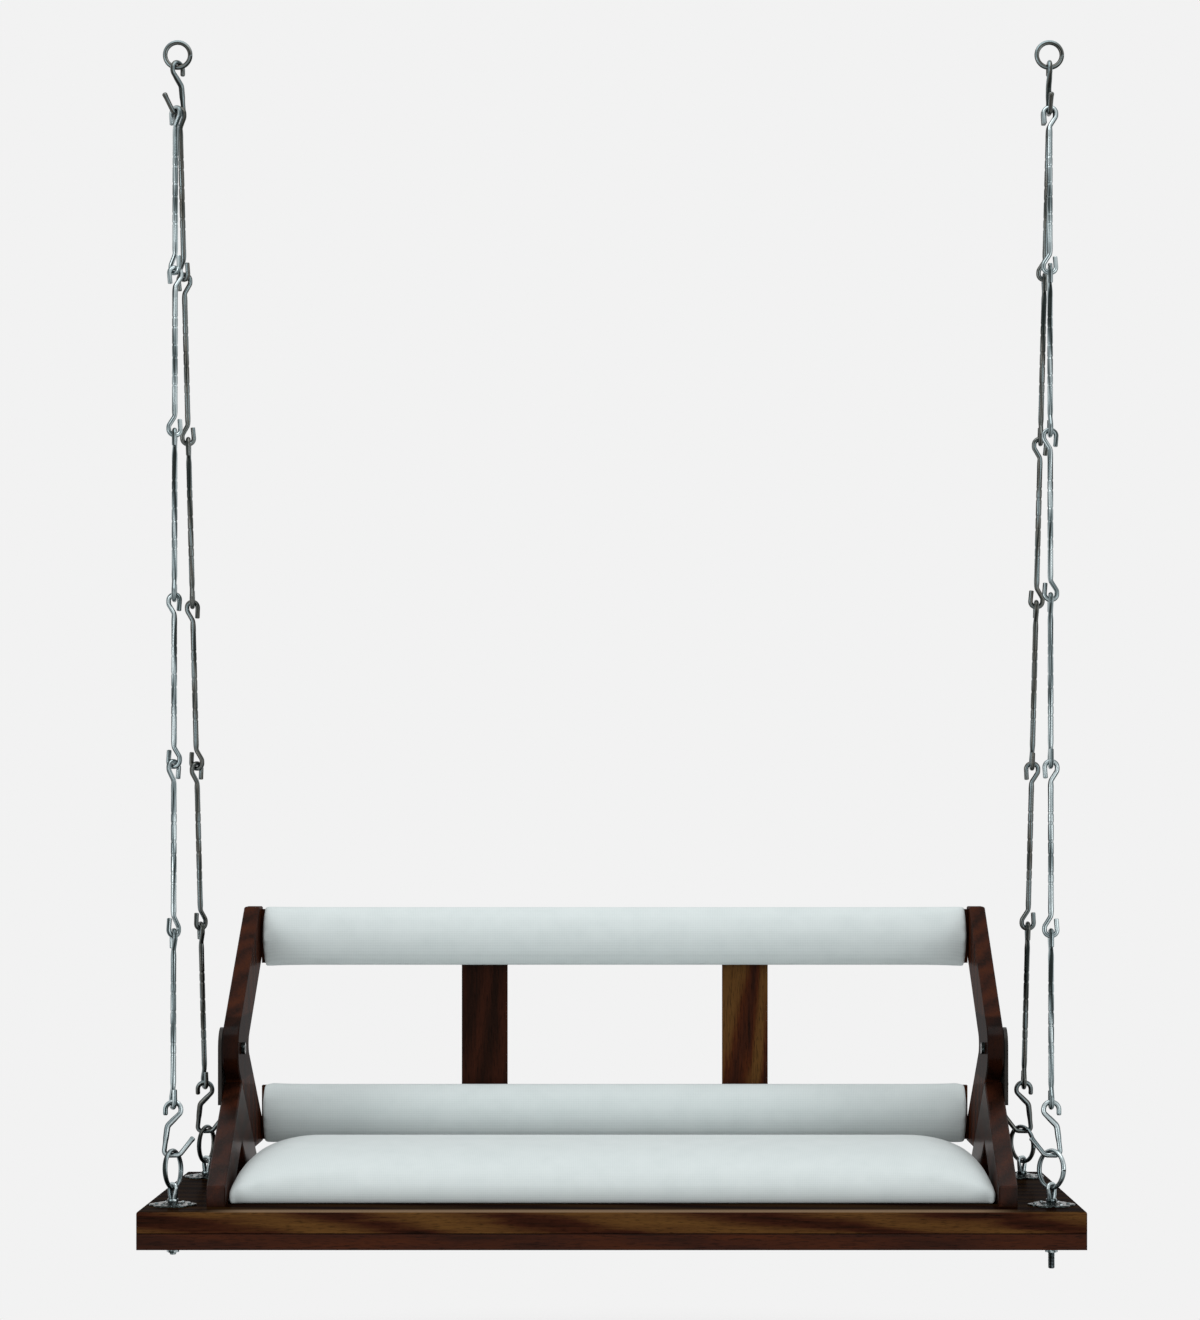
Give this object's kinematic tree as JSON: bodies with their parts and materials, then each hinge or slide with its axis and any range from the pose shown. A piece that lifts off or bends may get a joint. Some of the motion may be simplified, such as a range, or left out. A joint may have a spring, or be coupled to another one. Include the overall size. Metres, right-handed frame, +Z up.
{
  "type": "hanging swing seat",
  "caption": "Hanging wooden swing seat with a plank base, a crowned cushion and a padded walk-over back rest, hung from ceiling rings by chains of hooked rods.",
  "frame": {"origin": "Midway between the centres of the two ceiling rings, on the line that the seat hangs from.", "axes": "Seen from the front, +X runs to the right along the seat, +Y runs from the front of the seat to its back, and +Z runs up."},
  "size_m": [1.512, 0.634, 2.026],
  "materials": {
    "stained_wood": "satin",
    "bright_steel": "polished",
    "dark_plate": "satin",
    "pale_fabric": "matte"
  },
  "bodies": {
    "ceiling": {"ceiling_rings": "bright_steel"},
    "hooks": {"top_hooks": "bright_steel"},
    "left_hanger": {"front_left_chain": "bright_steel", "back_left_chain": "bright_steel"},
    "right_hanger": {"front_right_chain": "bright_steel", "back_right_chain": "bright_steel"},
    "seat": {"deck_board_1": "stained_wood", "deck_board_2": "stained_wood", "deck_board_3": "stained_wood", "deck_board_4": "stained_wood", "front_rail": "stained_wood", "back_rail": "stained_wood", "left_end_rail": "stained_wood", "right_end_rail": "stained_wood", "left_batten": "stained_wood", "right_batten": "stained_wood", "left_front_leg": "stained_wood", "left_rear_leg": "stained_wood", "right_front_leg": "stained_wood", "right_rear_leg": "stained_wood", "left_pivot_plate": "dark_plate", "right_pivot_plate": "dark_plate", "eyebolts": "bright_steel", "rosettes": "bright_steel", "eyebolt_washers": "bright_steel", "eyebolt_nuts": "bright_steel", "pivot_bolts": "bright_steel", "pivot_washers": "bright_steel", "pivot_nuts": "bright_steel", "seat_cushion": "pale_fabric"},
    "backrest": {"left_arm": "stained_wood", "right_arm": "stained_wood", "upper_back_board": "stained_wood", "lower_back_board": "stained_wood", "left_slat": "stained_wood", "right_slat": "stained_wood", "upper_pad": "pale_fabric", "lower_pad": "pale_fabric"}
  },
  "joints": [
    {"name": "swing", "type": "hinge", "parent": "ceiling", "child": "hooks", "pos_m": [0, 0, -0.021], "axis": [1, 0, 0], "range_deg": [-25, 25]},
    {"name": "sway", "type": "hinge", "parent": "hooks", "child": "left_hanger", "pos_m": [-0.731, 0, -0.0976], "axis": [0, 1, 0], "range_deg": [-4, 4]},
    {"name": "right_sway", "type": "hinge", "parent": "hooks", "child": "right_hanger", "pos_m": [0.731, 0, -0.0976], "axis": [0, 1, 0], "range_deg": [-4.2, 4.2]},
    {"name": "seat_level", "type": "hinge", "parent": "left_hanger", "child": "seat", "pos_m": [-0.704, 0, -1.866], "axis": [0, 1, 0], "range_deg": [-4.5, 4.5]},
    {"name": "backrest_flip", "type": "hinge", "parent": "seat", "child": "backrest", "pos_m": [0, -0.0411, -1.663], "axis": [1, 0, 0], "range_deg": [0, 180]}
  ],
  "couplings": [
    {"joint": "right_sway", "follows": "sway", "ratio": 1},
    {"joint": "seat_level", "follows": "sway", "ratio": -1.0384}
  ]
}
